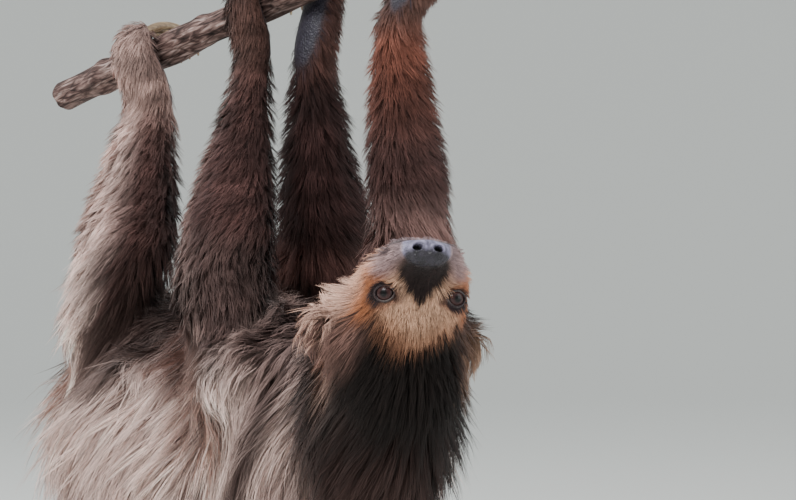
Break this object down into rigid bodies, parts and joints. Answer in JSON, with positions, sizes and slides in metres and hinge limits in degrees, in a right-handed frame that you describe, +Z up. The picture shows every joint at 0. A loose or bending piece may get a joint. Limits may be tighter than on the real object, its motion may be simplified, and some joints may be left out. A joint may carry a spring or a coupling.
{
  "type": "two-toed sloth",
  "caption": "Life-size still model of a two-toed sloth hanging belly up by its claws from a cut length of branch, on a flat base with short rods.",
  "frame": {"origin": "middle of the underside of the stand's base", "axes": "+Z up, the animal hangs belly up with its nose towards -Y, its left side at -X and the branch above it from rump to head"},
  "size_m": [0.3, 0.6625, 0.6069],
  "materials": {
    "coat_grey": "long coarse grey-cream hair",
    "coat_brown": "shaggy dark brown hair",
    "face_tan": "short tan hair",
    "bare_skin": "bare grey skin, slightly moist",
    "eye_brown": "wet brown eye",
    "horn_claw": "satin horn",
    "bark": "weathered bark",
    "base_wood": "satin dark wood",
    "rod_steel": "brushed"
  },
  "bodies": {
    "root": {"trunk": "coat_grey", "tail": "coat_grey", "neck": "coat_grey", "head": "face_tan", "muzzle": "face_tan", "lower_jaw": "face_tan", "nose_pad": "bare_skin", "ear_left": "bare_skin", "ear_right": "bare_skin", "eye_left": "eye_brown", "eye_right": "eye_brown", "fore_left_upper": "coat_brown", "fore_left_lower": "coat_brown", "fore_left_hand": "coat_brown", "claw_fore_left_1": "horn_claw", "claw_fore_left_2": "horn_claw", "fore_right_upper": "coat_brown", "fore_right_lower": "coat_brown", "fore_right_hand": "coat_brown", "claw_fore_right_1": "horn_claw", "claw_fore_right_2": "horn_claw", "hind_left_upper": "coat_brown", "hind_left_lower": "coat_brown", "hind_left_foot": "coat_brown", "claw_hind_left_1": "horn_claw", "claw_hind_left_2": "horn_claw", "claw_hind_left_3": "horn_claw", "hind_right_upper": "coat_brown", "hind_right_lower": "coat_brown", "hind_right_foot": "coat_brown", "claw_hind_right_1": "horn_claw", "claw_hind_right_2": "horn_claw", "claw_hind_right_3": "horn_claw", "perch_branch": "bark", "stand_base": "base_wood", "stand_rod_front": "rod_steel", "stand_rod_rear": "rod_steel"}
  },
  "joints": []
}
